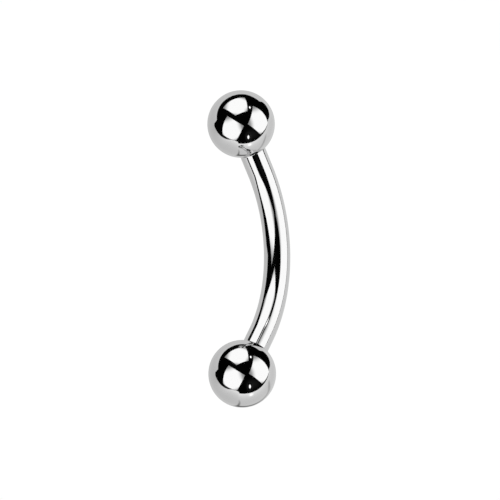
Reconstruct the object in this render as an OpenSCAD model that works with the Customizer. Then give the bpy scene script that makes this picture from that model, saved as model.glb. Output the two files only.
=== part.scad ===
/* [Ball ends] */
// Diameter of each screw-on ball
ball_d = 3.0; // [2.8:0.1:4]
// Diameter of the countersunk mouth in each ball, where the bar goes in
mouth_d = 1.24; // [1.24:0.02:1.3]

/* [Bar] */
// Diameter of the polished bar, a 16 gauge wire
bar_d = 1.18; // [1.16:0.02:1.24]
// Radius of the bend, at the middle of the wire
bend_r = 6.5; // [6:0.25:8]
// Angle of the bend on each side of the middle
bend_half_angle = 34.8; // [32:0.2:36]
// Straight stretch from the end of the bend to the middle of the ball
straight_l = 2.34; // [2.2:0.02:3]

/* [Screw post] */
// Diameter over the thread's crests
crest_d = 1.08; // [1:0.01:1.08]
// Distance between neighbouring turns of the thread
pitch = 0.25; // [0.2:0.05:0.3]
// How far the post reaches past the middle of the ball
post_past_middle = 0.45; // [0.3:0.05:0.5]

/* [Hidden] */
$fn = 64;

ball_r = ball_d / 2;
bar_r = bar_d / 2;
mouth_r = mouth_d / 2;
crest_r = crest_d / 2;

// The thread has the ISO proportions: 60 degree flanks, a flat of an eighth of the pitch on each
// crest and of a quarter in each root. It is drawn as parallel ridges, not as a helix.
thread_depth = 0.6134 * pitch;
core_r = crest_r - thread_depth;
crest_flat = pitch / 8;
root_flat = pitch / 4;
flank = (pitch - crest_flat - root_flat) / 2;

// The bend lies flat in the XY plane here, with the ball centres on the Y axis and the bulge at +X.
half_chord = bend_r * sin(bend_half_angle) + straight_l * cos(bend_half_angle);
bulge = bend_r * (1 - cos(bend_half_angle)) + straight_l * sin(bend_half_angle);

// The bore in a ball is drilled on the post's axis. Heights run along that axis from the middle of
// the ball, positive towards the bar.
thread_clearance = 0.035;
room_past_tip = 0.15;
drill_point_angle = 118;
bore_r = crest_r + thread_clearance;
bore_past_middle = post_past_middle + room_past_tip;
drill_point = bore_r / tan(drill_point_angle / 2);
mouth_z = sqrt(ball_r * ball_r - mouth_r * mouth_r);
seat_z = mouth_z - (mouth_r - bore_r);

// The bar ends in a flat shoulder round the thread. The shoulder lies just inside the mouth, and its
// rounded edge starts a little outside, so that the mouth's rim stays clear of it.
edge_outside = 0.03;
edge_r = 0.04;
edge_z = mouth_z + edge_outside;
shoulder_z = edge_z - edge_r;
edge_steps = 6;
tip_z = -post_past_middle;
tip_chamfer = 0.08;
thread_start_z = tip_z + tip_chamfer;
ridges = floor((shoulder_z - thread_start_z) / pitch);

// Bending stretches the wire, so the bend is a hair slimmer than the straight ends, and it runs a
// little way into them.
bend_thinning = 0.003;
bend_wire_r = bar_r - bend_thinning;
run_in = 0.05;
run_in_angle = run_in / bend_r * 180 / PI;

// At rest the barbell lies on both balls and on the middle of the bend, so its plane leans by this.
lean = asin((ball_r - bend_wire_r) / bulge);
reach_x = bulge * cos(lean) + bend_wire_r;

// Lays the flat barbell down on the plane z = 0, with the middle of its footprint at the origin.
module lay_down() {
    translate([(ball_r - reach_x) / 2, 0, ball_r])
        rotate([0, lean, 0])
            children();
}

// Puts what is drawn round the Z axis at the ball on that side, with +Z pointing along the bar.
module at_ball(side) {
    translate([0, side * half_chord, 0])
        rotate([0, 90, -side * (90 - bend_half_angle)])
            children();
}

// The outline of one thread ridge whose lower root starts at height z.
function ridge(z) = [
    [core_r, z],
    [crest_r, z + flank],
    [crest_r, z + flank + crest_flat],
    [core_r, z + 2 * flank + crest_flat],
];

// A point on the shoulder's rounded edge, from 0 where it leaves the bar to 90 where it meets the
// flat of the shoulder.
function edge(angle) = [
    bar_r - edge_r + edge_r * cos(angle),
    edge_z - edge_r * sin(angle),
];

// The straight end of the bar with its shoulder and its threaded post.
module bar_end() {
    rotate_extrude()
        polygon([
            [0, tip_z],
            [core_r - tip_chamfer, tip_z],
            for (i = [0:ridges - 1]) each ridge(thread_start_z + i * pitch),
            [core_r, shoulder_z],
            for (i = [edge_steps:-1:0]) edge(90 * i / edge_steps),
            [bar_r, straight_l],
            [0, straight_l],
        ]);
}

// The bent wire, one piece from post to post.
module curved_bar() {
    color("silver") {
        translate([bulge - bend_r, 0, 0])
            rotate([0, 0, -bend_half_angle - run_in_angle])
                rotate_extrude(angle = 2 * (bend_half_angle + run_in_angle))
                    translate([bend_r, 0])
                        circle(r = bend_wire_r);
        at_ball(1) bar_end();
        at_ball(-1) bar_end();
    }
}

// The blind hole for the post: a drill point, the bore and the countersunk mouth.
module post_hole() {
    rotate_extrude()
        polygon([
            [0, -bore_past_middle - drill_point],
            [bore_r, -bore_past_middle],
            [bore_r, seat_z],
            [mouth_r, mouth_z],
            [mouth_r + ball_r - mouth_z, ball_r],
            [0, ball_r],
        ]);
}

// One screw-on ball.
module ball(side) {
    color("silver")
        at_ball(side)
            difference() {
                sphere(d = ball_d);
                post_hole();
            }
}

lay_down() curved_bar();
lay_down() ball(1);  // upper_ball
lay_down() ball(-1);  // lower_ball
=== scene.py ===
"""A curved eyebrow barbell of polished surgical steel, lying on a white table under three softboxes."""

import bpy
import numpy as np
from mathutils import Matrix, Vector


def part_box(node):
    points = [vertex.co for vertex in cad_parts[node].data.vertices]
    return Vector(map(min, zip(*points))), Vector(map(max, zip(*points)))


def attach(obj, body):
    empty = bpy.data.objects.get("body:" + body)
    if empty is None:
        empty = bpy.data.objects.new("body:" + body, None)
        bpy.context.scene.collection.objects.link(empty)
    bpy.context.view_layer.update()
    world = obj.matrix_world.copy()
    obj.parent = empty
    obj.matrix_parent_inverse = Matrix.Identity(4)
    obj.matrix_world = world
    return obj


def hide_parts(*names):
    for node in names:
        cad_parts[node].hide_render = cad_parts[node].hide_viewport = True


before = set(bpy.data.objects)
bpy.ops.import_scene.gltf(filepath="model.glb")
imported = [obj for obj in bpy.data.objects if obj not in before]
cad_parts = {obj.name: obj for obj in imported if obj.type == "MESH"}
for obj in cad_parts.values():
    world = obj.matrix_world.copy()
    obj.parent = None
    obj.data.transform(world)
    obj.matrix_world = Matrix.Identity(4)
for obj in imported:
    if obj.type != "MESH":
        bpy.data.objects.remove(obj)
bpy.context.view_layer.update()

# Sizes in millimetres, as the solids have them
MM = 0.001
BALL_R = 1.5
BAR_R = 0.59
BEND_THINNING = 0.003
BEND_WIRE_R = BAR_R - BEND_THINNING
MOUTH_R = 0.62
CREST_R = 0.54
PITCH = 0.25
THREAD_DEPTH = 0.6134 * PITCH
THREAD_CLEARANCE = 0.035
CORE_R = CREST_R - THREAD_DEPTH
BORE_R = CREST_R + THREAD_CLEARANCE
BEND_R = 6.5
BEND_HALF_ANGLE = np.radians(34.8)
STRAIGHT_L = 2.34
POST_PAST_MIDDLE = 0.45
ROOM_PAST_TIP = 0.15
BORE_PAST_MIDDLE = POST_PAST_MIDDLE + ROOM_PAST_TIP
DRILL_POINT_ANGLE = np.radians(118)
EDGE_OUTSIDE = 0.03
EDGE_R = 0.04
TIP_CHAMFER = 0.08

# Heights on a post's axis, from the middle of its ball towards the bar
MOUTH_Z = np.sqrt(BALL_R**2 - MOUTH_R**2)
SEAT_Z = MOUTH_Z - (MOUTH_R - BORE_R)
EDGE_Z = MOUTH_Z + EDGE_OUTSIDE
SHOULDER_Z = EDGE_Z - EDGE_R
TIP_Z = -POST_PAST_MIDDLE
DRILL_POINT_Z = -BORE_PAST_MIDDLE - BORE_R / np.tan(DRILL_POINT_ANGLE / 2)
HALF_LENGTH = STRAIGHT_L + BEND_R * BEND_HALF_ANGLE

# The flat barbell has its ball centres on Y and bulges towards +X. It leans until its bend rests.
BULGE = BEND_R * (1 - np.cos(BEND_HALF_ANGLE)) + STRAIGHT_L * np.sin(BEND_HALF_ANGLE)
LEAN = np.arcsin((BALL_R - BEND_WIRE_R) / BULGE)
UPPER = 1
LOWER = -1

# Left out of the solids, in millimetres: the depth of the tapped grooves in a ball, how far the edges of
# its hole are broken, and the stretch over which the wire thins round each end of the bend
GROOVE_DEPTH = 0.09
HOLE_EDGE_BREAK = 0.03
THINNING_L = 1.6

# Points round each piece, and the angles round it
AROUND = 128
ANGLES = np.arange(AROUND) * 2 * np.pi / AROUND

# Rows of the post's blunt tip: height over it, and share of the radius at which the chamfer starts
TIP_ROWS = np.array([(0, 0.35), (0, 0.7), (0, 0.97), (0.002, 0.99), (0.006, 1.0)])


def middle_of_balls():
    """The point halfway between the centres of the two balls' solids, in metres."""
    return sum(np.array(corner) for name in ("upper_ball", "lower_ball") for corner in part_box(name)) / 4


def lay_down(points):
    """Flat barbell to the table: a turn by LEAN about Y, then to the balls' middle, in metres."""
    x, y, z = np.moveaxis(points, -1, 0)
    turned = np.stack([x * np.cos(LEAN) + z * np.sin(LEAN), y, z * np.cos(LEAN) - x * np.sin(LEAN)], -1)
    return turned * MM + middle_of_balls()


def wire_path(s):
    """Centre, tangent and outward normal of the wire at arc length s from the middle of the bend.

    An arc of BEND_R while |s| is under BEND_R times BEND_HALF_ANGLE, and its tangent line beyond.
    """
    bent = np.clip(s / BEND_R, -BEND_HALF_ANGLE, BEND_HALF_ANGLE)
    flat = np.zeros_like(bent)
    tangent = np.stack([-np.sin(bent), np.cos(bent), flat], -1)
    normal = np.stack([np.cos(bent), np.sin(bent), flat], -1)
    centre = BEND_R * normal + [BULGE - BEND_R, 0, 0] + (s - bent * BEND_R)[..., None] * tangent
    return centre, tangent, normal


def tooth(turns):
    """Height of a 60 degree thread from 0 in the root to 1 on the crest, at a number of turns.

    A triangle wave stretched so that its flanks fill five eighths of a turn, cut off at 0 and 1.
    """
    triangle = 1 - 2 * np.abs(turns - np.floor(turns) - 0.5)
    return np.clip((triangle - 0.25) / 0.625, 0, 1)


def ease(x):
    """Smooth step: 0 below 0, 1 above 1, and 3x2 - 2x3 between."""
    x = np.clip(x, 0, 1)
    return x * x * (3 - 2 * x)


def rounded(corners, fillet, steps=6):
    """A polyline with each inner corner cut off by a curve that starts and ends a fillet's length away.

    The curve is the quadratic Bezier arc over the corner, as the given number of points.
    """
    corners = np.array(corners, float)
    line = [corners[:1]]
    t = np.linspace(0, 1, steps)[:, None]
    for before, corner, after in zip(corners[:-2], corners[1:-1], corners[2:]):
        start = corner + fillet * (before - corner) / np.linalg.norm(before - corner)
        end = corner + fillet * (after - corner) / np.linalg.norm(after - corner)
        line.append((1 - t) ** 2 * start + 2 * t * (1 - t) * corner + t**2 * end)
    line.append(corners[-1:])
    return np.concatenate(line)


def filled(line, spacing):
    """The same polyline with points added so that no step is longer than spacing."""
    parts = []
    for start, end in zip(line[:-1], line[1:]):
        steps = max(1, int(np.ceil(np.linalg.norm(end - start) / spacing)))
        parts.append(start + (end - start) * (np.arange(steps) / steps)[:, None])
    parts.append(line[-1:])
    return np.concatenate(parts)


def tube_faces(rows, columns):
    """Quads of a grid closed round its columns, and fans to the two poles that follow the grid."""
    row, column = np.meshgrid(np.arange(rows - 1), np.arange(columns), indexing="ij")
    beside = (column + 1) % columns
    a = row * columns + column
    b = (row + 1) * columns + column
    c = (row + 1) * columns + beside
    d = row * columns + beside
    quads = np.stack([a, b, c, d], -1).reshape(-1, 4)
    column = np.arange(columns)
    beside = (column + 1) % columns
    first_pole = rows * columns
    last = (rows - 1) * columns
    start_fan = np.stack([np.full(columns, first_pole), column, beside], -1)
    end_fan = np.stack([np.full(columns, first_pole + 1), last + beside, last + column], -1)
    return quads, np.concatenate([start_fan, end_fan])


def add_mesh(name, points, polygons):
    """A mesh object from an array of points and a list of index arrays, one for each polygon size."""
    mesh = bpy.data.meshes.new(name)
    faces = [face for block in polygons for face in block.tolist()]
    mesh.from_pydata(points.reshape(-1, 3).tolist(), [], faces)
    mesh.validate()
    piece = bpy.data.objects.new(name, mesh)
    bpy.context.scene.collection.objects.link(piece)
    return piece


def add_turned_piece(name, grid, poles, straightened, finishes, cut):
    """A closed tube with poles: its grid is rows along the piece by columns round it.

    The attribute straightened holds each point's place on the straight, unbent piece in millimetres,
    so that marks left by drawing and turning follow the metal round the bend. Rows take the first
    finish, and those that are cut take the second.
    """
    rows, columns = grid.shape[:2]
    quads, fans = tube_faces(rows, columns)
    points = np.concatenate([grid.reshape(-1, 3), poles])
    corners = points[quads]
    across = np.cross(corners[:, 1] - corners[:, 0], corners[:, 3] - corners[:, 0])
    if np.einsum("ij,ij->", corners[:, 0] - points.mean(0), across) < 0:
        quads, fans = quads[:, ::-1], fans[:, ::-1]
    piece = add_mesh(name, points, [quads, fans])
    mesh = piece.data
    values = mesh.attributes.new("straightened", "FLOAT_VECTOR", "POINT")
    values.data.foreach_set("vector", straightened.astype(np.float32).ravel())
    for finish in finishes:
        mesh.materials.append(finish)
    of_quad = np.repeat(cut[:-1], columns)
    of_fan = np.repeat(cut[[0, -1]], columns)
    mesh.polygons.foreach_set("material_index", np.concatenate([of_quad, of_fan]).astype(np.int32))
    mesh.polygons.foreach_set("use_smooth", np.ones(len(mesh.polygons), bool))
    return piece


def turns_of_thread(z, side):
    """Turns that a right-hand thread has made at each height z on a side's axis, by each angle round."""
    return z[:, None] / PITCH - side * ANGLES / (2 * np.pi)


def post_rows():
    """Heights and radii along one end of the bar, from the post's tip to the middle of the bend.

    The core, the flat shoulder and the quarter circle that rounds its edge, then the wire, which
    thins a little in the bend. Rows close beside the edges keep the smooth shading from crossing them.
    """
    beside_edge = 0.01
    tip = TIP_Z + TIP_ROWS[:, 0]
    tip_r = (CORE_R - TIP_CHAMFER) * TIP_ROWS[:, 1]
    thread = np.linspace(TIP_Z + beside_edge, SHOULDER_Z - beside_edge, 150)
    flat_r = np.linspace(CORE_R, BAR_R - EDGE_R, 8)[:-1]
    over = np.linspace(np.pi / 2, 0, 14)
    edge = EDGE_Z - EDGE_R * np.sin(over)
    edge_r = BAR_R - EDGE_R + EDGE_R * np.cos(over)
    wire = np.linspace(EDGE_Z + 5 * beside_edge, HALF_LENGTH, 110)
    wire = np.concatenate([[EDGE_Z + 2 * beside_edge], wire])
    wire_r = BEND_WIRE_R + BEND_THINNING * ease((STRAIGHT_L - wire) / THINNING_L + 0.5)
    z = np.concatenate([tip, thread, np.full(len(flat_r), SHOULDER_Z), edge, wire])
    r = np.concatenate([tip_r, np.full(len(thread), CORE_R), flat_r, edge_r, wire_r])
    return z, r


def post_radius(z, r, side):
    """Radius of a post's rows round its axis: the rows' own radius plus a right-hand thread.

    The thread grows out of the tip's 45 degree chamfer and dies out towards the shoulder.
    """
    runout = 0.6 * PITCH
    height = ease((SHOULDER_Z - z) / runout) * THREAD_DEPTH
    radius = r[:, None] + height[:, None] * tooth(turns_of_thread(z, side))
    chamfer = CORE_R - TIP_CHAMFER + (z[:, None] - TIP_Z)
    radius = np.minimum(radius, chamfer)
    radius[: len(TIP_ROWS)] = r[: len(TIP_ROWS), None]
    return radius


def spokes(normal):
    """Unit vectors round an axis in the plane of the bend, starting at the bend's outward normal."""
    return np.cos(ANGLES)[:, None] * normal + np.sin(ANGLES)[:, None] * np.array([0, 0, 1.0])


def straight_places(radius, height, pole_heights):
    """Places on the straight piece: rows of radii at their heights round the Z axis, then two poles."""
    height = np.broadcast_to(height[:, None], radius.shape)
    rows = np.stack([radius * np.cos(ANGLES), radius * np.sin(ANGLES), height], -1)
    poles = [[0, 0, pole_height] for pole_height in pole_heights]
    return np.concatenate([rows.reshape(-1, 3), poles])


def bar(finishes):
    """The bent wire: circles of the rows' radii carried along the wire's path from post to post."""
    z, r = post_rows()
    lower = post_radius(z, r, LOWER)
    upper = post_radius(z, r, UPPER)
    s = np.concatenate([z - HALF_LENGTH, (HALF_LENGTH - z)[::-1][1:]])
    radius = np.concatenate([lower, upper[::-1][1:]])
    centre, _, normal = wire_path(s)
    grid = centre[:, None] + radius[..., None] * spokes(normal[:, None])
    ends = centre[[0, -1]]
    straightened = straight_places(radius, s, s[[0, -1]])
    polished_from = SHOULDER_Z + 0.1 * EDGE_R
    cut = HALF_LENGTH - np.abs(s) < polished_from
    return add_turned_piece("bar", lay_down(grid), lay_down(ends), straightened, finishes, cut)


def ball_outline():
    """Heights and radii of a ball's outline from its far pole to the drill point, and where it is cut.

    A circle of BALL_R up to the mouth, then the countersink, the bore and a 118 degree drill point.
    """
    pole_gap = 0.02
    mouth_gap = 0.03
    mouth_angle = np.arccos(-MOUTH_Z / BALL_R)
    t = np.linspace(pole_gap, mouth_angle - mouth_gap, 130)
    circle = np.stack([-BALL_R * np.cos(t), BALL_R * np.sin(t)], -1)
    last_r = 0.03 * BORE_R
    corners = [
        circle[-1],
        [MOUTH_Z, MOUTH_R],
        [SEAT_Z, BORE_R],
        [-BORE_PAST_MIDDLE, BORE_R],
        [DRILL_POINT_Z + last_r / np.tan(DRILL_POINT_ANGLE / 2), last_r],
    ]
    steps_a_turn = 18
    hole = filled(rounded(corners, HOLE_EDGE_BREAK), PITCH / steps_a_turn)
    z, r = np.concatenate([circle[:-1], hole]).T
    cut = (np.arange(len(z)) > len(circle)) & (z < SEAT_Z)
    return z, r, cut


def ball(name, side, finishes):
    """A screw-on ball: its outline turned round the post's axis, with the thread's grooves cut out.

    The grooves go outwards from the bore, so that the post's crests stay clear when it is pulled out.
    """
    z, r, cut = ball_outline()
    lead_in = 0.5 * PITCH
    tapped = cut * ease((SEAT_Z - z) / lead_in) * ease((z - TIP_Z) / PITCH)
    radius = r[:, None] + GROOVE_DEPTH * tapped[:, None] * tooth(turns_of_thread(z, side))
    centre, tangent, normal = wire_path(np.array(side * HALF_LENGTH))
    axis = -side * tangent
    grid = centre + z[:, None, None] * axis + radius[..., None] * spokes(normal)
    pole_heights = np.array([-BALL_R, DRILL_POINT_Z])
    poles = centre + pole_heights[:, None] * axis
    straightened = straight_places(radius, z, pole_heights)
    return add_turned_piece(name, lay_down(grid), lay_down(poles), straightened, finishes, cut)


def linear(hex_colour):
    """An sRGB hex colour as linear red, green, blue and alpha."""
    srgb = np.array([int(hex_colour[i : i + 2], 16) for i in (1, 3, 5)]) / 255
    value = np.where(srgb <= 0.04045, srgb / 12.92, ((srgb + 0.055) / 1.055) ** 2.4)
    return (*value, 1.0)


def add_node(tree, kind, settings=None, **inputs):
    """A node with its settings, and its inputs by name: a socket is linked, anything else is set.

    An underscore in an input's name stands for a space.
    """
    node = tree.nodes.new(kind)
    for key, value in (settings or {}).items():
        setattr(node, key, value)
    for key, value in inputs.items():
        socket = node.inputs[key.replace("_", " ")]
        if isinstance(value, bpy.types.NodeSocket):
            tree.links.new(value, socket)
        else:
            socket.default_value = value
    return node


def new_material(name):
    """An empty node material, its tree and its output node."""
    material = bpy.data.materials.new(name)
    material.use_nodes = True
    material.node_tree.nodes.clear()
    output = add_node(material.node_tree, "ShaderNodeOutputMaterial")
    return material, material.node_tree, output


def stretched_noise(tree, grain, stretch, detail):
    """Noise in the straightened piece's millimetres, grain wide across and stretch times longer along."""
    place = add_node(tree, "ShaderNodeAttribute", {"attribute_name": "straightened"})
    scaled = add_node(tree, "ShaderNodeMapping", Vector=place.outputs["Vector"])
    scaled.inputs["Scale"].default_value = (1 / grain, 1 / grain, 1 / (grain * stretch))
    noise = add_node(
        tree,
        "ShaderNodeTexNoise",
        Vector=scaled.outputs["Vector"],
        Scale=1.0,
        Detail=detail,
    )
    return noise.outputs["Fac"]


def spread(tree, value, low, high):
    """Maps a value of 0.3 to 0.7, where noise mostly lies, to low to high."""
    mapped = add_node(
        tree,
        "ShaderNodeMapRange",
        Value=value,
        From_Min=0.3,
        From_Max=0.7,
        To_Min=low,
        To_Max=high,
    )
    return mapped.outputs["Result"]


def steel(name, colour, roughness, haze_grain, mark_grain, mark_stretch, mark_depth):
    """Surgical steel: one metal shader whose roughness wanders and whose marks are a shallow bump.

    Grains and depth are in millimetres, and marks are stretched along the piece.
    """
    material, tree, output = new_material(name)
    haze = stretched_noise(tree, haze_grain, stretch=1.0, detail=2.0)
    marks = stretched_noise(tree, mark_grain, mark_stretch, detail=3.0)
    bump = add_node(tree, "ShaderNodeBump", Height=marks, Distance=mark_depth * MM, Strength=1.0)
    shader = add_node(
        tree,
        "ShaderNodeBsdfPrincipled",
        Base_Color=linear(colour),
        Metallic=1.0,
        Roughness=spread(tree, haze, *roughness),
        Normal=bump.outputs["Normal"],
    )
    tree.links.new(shader.outputs["BSDF"], output.inputs["Surface"])
    return material


# The direction from the object to the photograph's camera, and the one that is up in the photograph
TO_CAMERA = np.array([-0.4837, -0.1764, 0.857])
CAMERA_UP = np.array([-0.0827, 0.984, 0.156])


def camera_axes():
    """Unit vectors to the right, up and back of the photograph's camera, as the rows of a matrix."""
    back = TO_CAMERA / np.linalg.norm(TO_CAMERA)
    up = CAMERA_UP - CAMERA_UP @ back * back
    up /= np.linalg.norm(up)
    return np.stack([np.cross(up, back), up, back])


def seen_in_ball(spots):
    """Where the light comes from that a mirror ball shows at a spot, given in ball radii right and up.

    The ball's normal n there turns the view v into the direction 2 (n v) n - v.
    """
    spots = np.array(spots, float)
    depth = np.sqrt(1 - (spots**2).sum(-1))
    normal = np.concatenate([spots, depth[..., None]], -1)
    mirrored = 2 * depth[..., None] * normal - [0, 0, 1]
    return mirrored @ camera_axes()


def lit_fabric():
    """White cloth lit from behind: it gives off what the attribute glow says."""
    material, tree, output = new_material("lit_white_fabric")
    glow = add_node(tree, "ShaderNodeAttribute", {"attribute_name": "glow"})
    light = add_node(tree, "ShaderNodeEmission", Strength=glow.outputs["Fac"])
    tree.links.new(light.outputs["Emission"], output.inputs["Surface"])
    return material


def add_sheet(name, grid, attribute, values, material):
    """An open sheet from a grid of points, with a named attribute that holds a value for each."""
    rows, columns = grid.shape[:2]
    row, column = np.meshgrid(np.arange(rows - 1), np.arange(columns - 1), indexing="ij")
    a = (row * columns + column).ravel()
    quads = np.stack([a, a + 1, a + columns + 1, a + columns], -1)
    sheet = add_mesh(name, grid, [quads])
    held = sheet.data.attributes.new(attribute, "FLOAT", "POINT")
    held.data.foreach_set("value", values.astype(np.float32).ravel())
    sheet.data.materials.append(material)
    return sheet


def add_light_surface(name, grid, glow, fabric):
    """An open sheet that gives off light, from a grid of points and their glow. It isn't seen itself."""
    sheet = add_sheet(name, grid, "glow", glow, fabric)
    sheet.visible_camera = False
    sheet.visible_shadow = False


# How far off the lights stand, in metres, and how bright each is where white is 1
LIGHT_DISTANCE = 0.3
HAZE_DISTANCE = 0.34
SWEEP_DISTANCE = 0.36
SOFTBOX_GLOW = 1.66
LAMP_GLOW = 4.0

# A softbox loses this share of its light in a corner that dims, over this share of its size
CORNER_LOSS = 0.7
CORNER_FADE = 0.37

# Each softbox: where its four corners show in a ball, in ball radii right and up, and how near to
# each corner it starts to dim, as a share that is 1 in the corner and 0.5 halfway along a side
SOFTBOXES = {
    "softbox_above": (
        [(-0.520, 0.478), (0.103, 0.774), (0.186, 0.382), (-0.162, 0.253)],
        (0.54, 0.60, 0.60, 0.62),
    ),
    "softbox_left": (
        [(-0.397, 0.239), (0.076, -0.048), (-0.146, -0.481), (-0.548, -0.296)],
        (0.51, 0.50, 0.65, 0.70),
    ),
    "softbox_right": (
        [(0.339, 0.531), (0.786, 0.058), (0.571, -0.296), (0.202, 0.001)],
        (0.51, 1.00, 0.66, 0.485),
    ),
}

# Each small lamp: how far off it stands, and where its four corners show in a ball
LAMPS = {
    "lamp_above": (LIGHT_DISTANCE, [(0.200, 0.546), (0.276, 0.551), (0.303, 0.431), (0.228, 0.426)]),
    "lamp_below": (0.17, [(0.171, -0.275), (0.263, -0.275), (0.263, -0.475), (0.171, -0.475)]),
}

# Each haze of stray light: where its middle shows in a ball, half its width and height there, and how
# bright its middle is
HAZES = {
    "haze_above": ((0.252, 0.490), (0.14, 0.09), 0.045),
    "haze_below": ((0.222, -0.385), (0.13, 0.19), 0.030),
    "haze_below_right": ((0.325, -0.300), (0.29, 0.22), 0.012),
}

# Edge of the white sweep round the dark set, as it shows in a ball: degrees round it, and ball radii out
SWEEP_EDGE = [
    (9, 0.802),
    (14, 0.850),
    (21, 0.886),
    (30, 0.912),
    (40, 0.917),
    (47, 0.905),
    (52, 0.858),
    (61, 0.865),
    (69, 0.869),
    (81, 0.882),
    (98, 0.876),
    (108, 0.867),
    (118, 0.857),
    (131, 0.839),
    (143, 0.811),
    (153, 0.781),
    (163, 0.748),
    (170, 0.724),
    (178, 0.793),
    (184, 0.793),
    (198, 0.741),
    (211, 0.693),
    (222, 0.640),
    (230, 0.594),
    (238, 0.540),
    (250, 0.522),
    (257, 0.530),
    (260, 0.545),
    (262, 0.580),
    (270, 0.584),
    (285, 0.595),
    (300, 0.620),
    (315, 0.655),
    (330, 0.690),
    (338, 0.712),
    (346, 0.737),
    (357, 0.772),
]

# Light of the sweep: all over, more towards the lower right, and the share lost behind the object, from
# so many degrees off the camera's direction on
SWEEP_GLOW = 0.79
RIGHT_GLOW = 0.1
LOWER_RIGHT = 330
FAR_LOSS = 0.3
FAR_FROM = 145

# Light along the sweep's rim, which fades over so many degrees: all round, more at the bottom, and
# less round the left, given by its middle and width in degrees
RIM_GLOW = 0.15
LOW_RIM_GLOW = 0.4
LEFT_RIM_LOSS = 0.25
LEFT_RIM = (192, 22)
RIM_FADE = 16

# Glare on the sweep of a lamp below the set: where it shows in a ball, its light, its size in degrees
GLARE_SPOT = (0.26, -0.615)
GLARE_GLOW = 0.9
GLARE_WIDTH = 5

# Painted shadows along the edges of the white card that lies under the set and bends up on the right:
# dark gauze strips darken what the balls mirror there. Each point has its place from the middle of the
# balls, towards the bulge, the upper ball and up, and the shadow's width there, all in millimetres, and
# the share of light lost in its middle
CARD_EDGE_SHADOWS = {
    "card_edge_shadow_left": [
        (15.8, -20, -35, 2.5, 0.7),
        (15.0, -35, -35, 2.5, 0.7),
        (13.6, -56, -35, 3.5, 0.45),
        (10.5, -75, -35, 4, 0.3),
        (4, -105, -35, 5, 0.0),
    ],
    "card_edge_shadow_below": [
        (14.5, -20.8, -35, 9, 0.9),
        (20, -20, -33.5, 9, 0.9),
        (24.5, -17.8, -29, 8, 0.8),
        (28.5, -16, -23, 6, 0.45),
        (32.5, -15.1, -17.3, 5, 0.3),
        (40.9, -17.7, -10.9, 5, 0.35),
        (50, -19.8, -3.5, 6, 0.4),
        (62.7, -20.3, 4.9, 7, 0.35),
        (80, -20, 16, 10, 0.0),
    ],
}


def square_sheet():
    """Two parameters of a square grid, from -1 to 1, and each point's share of each of its corners."""
    u, v = np.meshgrid(np.linspace(-1, 1, 33), np.linspace(-1, 1, 33), indexing="ij")
    areas = [(1 - u) * (1 - v), (1 + u) * (1 - v), (1 + u) * (1 + v), (1 - u) * (1 + v)]
    return u, v, np.stack(areas, -1) / 4


def softboxes(fabric):
    """Panels that dim towards their corners: each point is its shares of the four corners added up."""
    shares = square_sheet()[2]
    for name, (spots, dim_from) in SOFTBOXES.items():
        dimmed = ease((shares - dim_from) / CORNER_FADE).sum(-1)
        grid = shares @ seen_in_ball(spots) * LIGHT_DISTANCE
        add_light_surface(name, grid, SOFTBOX_GLOW * (1 - CORNER_LOSS * dimmed), fabric)


def lamps(fabric):
    """Small round lamps that are brightest in the middle and fill three quarters of their sheet."""
    u, v, shares = square_sheet()
    glow = LAMP_GLOW * (1 - ease(np.hypot(u, v) / 0.75))
    for name, (distance, spots) in LAMPS.items():
        add_light_surface(name, shares @ seen_in_ball(spots) * distance, glow, fabric)


def stray_light():
    """Air lit by a lamp: it gives off what the attribute glow says and hides nothing."""
    material, tree, output = new_material("stray_light")
    glow = add_node(tree, "ShaderNodeAttribute", {"attribute_name": "glow"})
    light = add_node(tree, "ShaderNodeEmission", Strength=glow.outputs["Fac"])
    through = add_node(tree, "ShaderNodeBsdfTransparent")
    both = add_node(tree, "ShaderNodeAddShader")
    tree.links.new(light.outputs["Emission"], both.inputs[0])
    tree.links.new(through.outputs["BSDF"], both.inputs[1])
    tree.links.new(both.outputs["Shader"], output.inputs["Surface"])
    return material


def hazes(air):
    """Round patches of faint light, bulged to one distance all over, brightest in their middle."""
    u, v, _ = square_sheet()
    for name, (middle, half_size, peak) in HAZES.items():
        spots = middle + np.stack([u, v], -1) * half_size
        grid = seen_in_ball(spots) * HAZE_DISTANCE
        add_light_surface(name, grid, peak * (1 - ease(np.hypot(u, v))), air)


def gauze():
    """Thin dark gauze for painted shadow: it lets through the share of light that the attribute clear
    says.
    """
    material, tree, output = new_material("painted_shadow_gauze")
    clear = add_node(tree, "ShaderNodeAttribute", {"attribute_name": "clear"})
    through = add_node(tree, "ShaderNodeBsdfTransparent", Color=clear.outputs["Color"])
    tree.links.new(through.outputs["BSDF"], output.inputs["Surface"])
    return material


def card_edge_shadows(painted_shadow_gauze):
    """Painted shadows along the card's edges: strips of dark gauze, face on to the balls, darkest along
    their middle.
    """
    step = 3
    across = np.linspace(-1, 1, 17)[:, None]
    for name, line in CARD_EDGE_SHADOWS.items():
        *place, width, lost = filled(np.array(line, float), step).T
        middle = np.stack(place, -1)
        sideways = np.cross(np.gradient(middle, axis=0), middle)
        sideways *= (width / np.linalg.norm(sideways, axis=1))[:, None]
        places = middle + across[..., None] * sideways
        # The painted shadow is deepest along the strip's middle and fades out to its sides
        clear = 1 - lost * (1 - ease(np.abs(across)))
        strip = add_sheet(name, places * MM + middle_of_balls(), "clear", clear, painted_shadow_gauze)
        strip.visible_camera = False


def hump(x, middle, width):
    """A smooth hump, 1 at the middle and 0.37 at a width away from it."""
    return np.exp(-(((x - middle) / width) ** 2))


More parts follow.
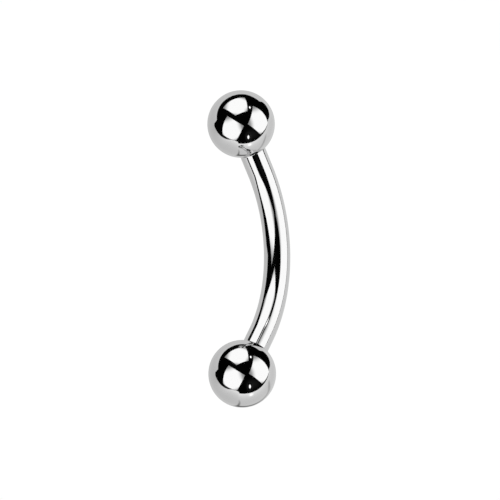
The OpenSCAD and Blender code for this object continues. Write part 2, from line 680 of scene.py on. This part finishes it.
def sweep(fabric):
    """The white sweep round the set: a bowl from its edge to the point behind the object.

    Rows go from the edge to the far point in equal angles, and columns round the camera's axis. It is
    lit most along its lower edge and least on the left and far behind, and the rim's light falls off
    as e to the minus the angle.
    """
    edge_turn, edge_r = np.array(SWEEP_EDGE).T
    turn = np.linspace(0, 360, 361)
    edge = 2 * np.degrees(np.arcsin(np.interp(turn, edge_turn, edge_r, period=360)))
    away = edge + (180 - edge) * np.linspace(0, 1, 90)[:, None]
    tilt = np.radians(away)
    round_x = np.cos(np.radians(turn))
    round_y = np.sin(np.radians(turn))
    to_camera = np.stack([np.sin(tilt) * round_x, np.sin(tilt) * round_y, np.cos(tilt)], -1)
    towards = to_camera @ camera_axes()

    low_side = 0.5 - 0.5 * round_y
    lower_right = 0.5 + 0.5 * np.cos(np.radians(turn - LOWER_RIGHT))
    lost_far = FAR_LOSS * ease((away - FAR_FROM) / (180 - FAR_FROM))
    all_over = (SWEEP_GLOW + RIGHT_GLOW * lower_right**2) * (1 - lost_far)
    rim = RIM_GLOW + LOW_RIM_GLOW * low_side**4 - LEFT_RIM_LOSS * hump(turn, *LEFT_RIM)
    glare = np.degrees(np.arccos(np.clip(towards @ seen_in_ball([GLARE_SPOT])[0], -1, 1)))
    glow = all_over + rim * np.exp((edge - away) / RIM_FADE)
    glow += GLARE_GLOW * hump(glare, 0, GLARE_WIDTH)
    add_light_surface("white_sweep", towards * SWEEP_DISTANCE, glow, fabric)


# A hair over white for the table and the background, so that both come out pure white, and the dark
# room that the steel mirrors between the lights
FULL_WHITE = 1.01
ROOM_GLOW = 0.001


def table():
    """A plain white table top, lit through evenly from below, so that it shows no shadow."""
    material, tree, output = new_material("lit_white_acrylic")
    light = add_node(tree, "ShaderNodeEmission", Strength=FULL_WHITE)
    tree.links.new(light.outputs["Emission"], output.inputs["Surface"])
    material.cycles.emission_sampling = "NONE"
    half = 0.8
    corners = np.array([[-half, -half, 0], [half, -half, 0], [half, half, 0], [-half, half, 0]])
    top = add_mesh("table_top", corners, [np.array([[0, 1, 2, 3]])])
    top.data.materials.append(material)
    top.visible_glossy = False
    top.visible_shadow = False


def studio():
    """A dark room for the reflections and a white background for the camera."""
    world = bpy.data.worlds.new("studio")
    world.use_nodes = True
    tree = world.node_tree
    tree.nodes.clear()
    rays = add_node(tree, "ShaderNodeLightPath")
    background = add_node(tree, "ShaderNodeBackground", Color=(1, 1, 1, 1))
    mapped = add_node(
        tree,
        "ShaderNodeMapRange",
        Value=rays.outputs["Is Camera Ray"],
        To_Min=ROOM_GLOW,
        To_Max=FULL_WHITE,
    )
    tree.links.new(mapped.outputs["Result"], background.inputs["Strength"])
    output = add_node(tree, "ShaderNodeOutputWorld")
    tree.links.new(background.outputs["Background"], output.inputs["Surface"])
    bpy.context.scene.world = world


def camera():
    """A long lens far off, so that the barbell shows without perspective, as in the photograph.

    It aims just beside the middle of the balls, and its frame is as wide as the photograph's.
    """
    axes = camera_axes()
    right, up, back = axes
    distance = 0.6
    frame_width = 22.19 * MM
    aim_right = 0.371 * MM
    aim_down = 0.058 * MM
    aim = middle_of_balls() + aim_right * right - aim_down * up
    data = bpy.data.cameras.new("camera")
    data.lens = data.sensor_width * distance / frame_width
    data.clip_start = 0.05
    data.clip_end = 5
    eye = bpy.data.objects.new("camera", data)
    place = np.eye(4)
    place[:3, :3] = axes.T
    place[:3, 3] = aim + distance * back
    eye.matrix_world = Matrix(place)
    bpy.context.scene.collection.objects.link(eye)
    bpy.context.scene.camera = eye


# 316L steel polished to a mirror on a felt wheel: neutral, bright, all but free of marks
ball_finish = steel(
    "mirror_polished_316L",
    "#C8C8C8",
    roughness=(0.035, 0.07),
    haze_grain=0.8,
    mark_grain=0.12,
    mark_stretch=1.0,
    mark_depth=0.00006,
)
# The same steel drawn to wire and then polished: fine lines run along it
wire_finish = steel(
    "drawn_and_polished_316L",
    "#C8C8C8",
    roughness=(0.04, 0.08),
    haze_grain=0.6,
    mark_grain=0.07,
    mark_stretch=60.0,
    mark_depth=0.0004,
)
# Thread and bore are left as cut, duller than the polished faces
cut_finish = steel(
    "cut_316L",
    "#A8A9AA",
    roughness=(0.22, 0.34),
    haze_grain=0.2,
    mark_grain=0.03,
    mark_stretch=0.5,
    mark_depth=0.0006,
)

pieces = {
    "bar": (bar([wire_finish, cut_finish]), "curved_bar", "bar_steel"),
    "upper_ball": (ball("ball_upper", UPPER, [ball_finish, cut_finish]), "upper_ball", "ball_steel"),
    "lower_ball": (ball("ball_lower", LOWER, [ball_finish, cut_finish]), "lower_ball", "ball_steel"),
}
for body, (piece, node, slot) in pieces.items():
    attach(piece, body)
    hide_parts(node)

fabric = lit_fabric()
softboxes(fabric)
lamps(fabric)
hazes(stray_light())
# Painted shadows along the card's edges, as strips of dark gauze
card_edge_shadows(gauze())
sweep(fabric)
table()
studio()
camera()
bpy.context.scene.view_settings.view_transform = "Standard"
